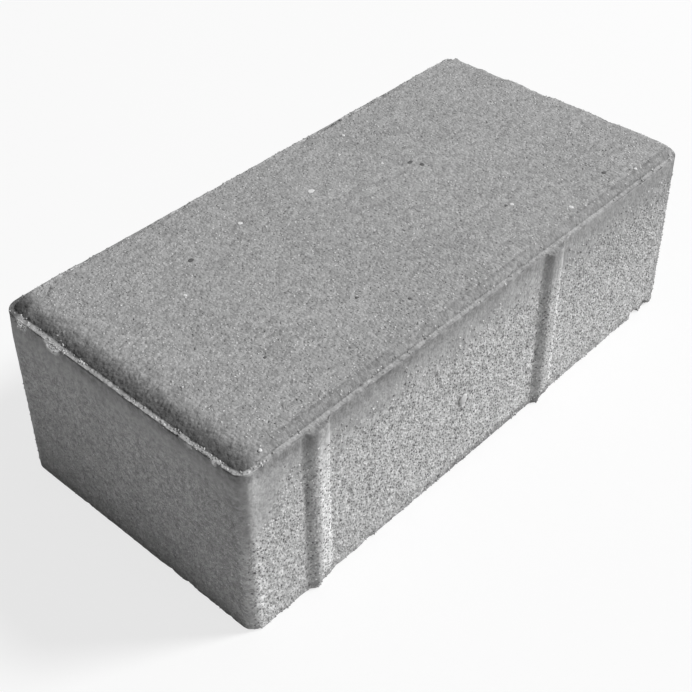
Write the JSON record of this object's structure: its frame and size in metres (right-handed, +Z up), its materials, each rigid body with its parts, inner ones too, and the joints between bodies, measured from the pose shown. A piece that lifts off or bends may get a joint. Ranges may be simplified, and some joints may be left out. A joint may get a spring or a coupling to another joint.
{
  "type": "concrete paving stone",
  "caption": "Rectangular pressed concrete paving stone with rounded top arris, narrow perimeter ledge and upright spacer ribs on one long side.",
  "frame": {"origin": "on the bedding face, under the middle of the whole block with its spacer ribs", "axes": "+X along the length, +Y towards the plain long side, so that the spacer ribs face -Y, and +Z up, out of the walked-on face"},
  "size_m": [0.198, 0.1, 0.062],
  "materials": {
    "concrete": "matt grey pressed concrete, fine-grained on top and pitted on the sides"
  },
  "bodies": {
    "root": {"paving_block": "concrete"}
  },
  "joints": []
}
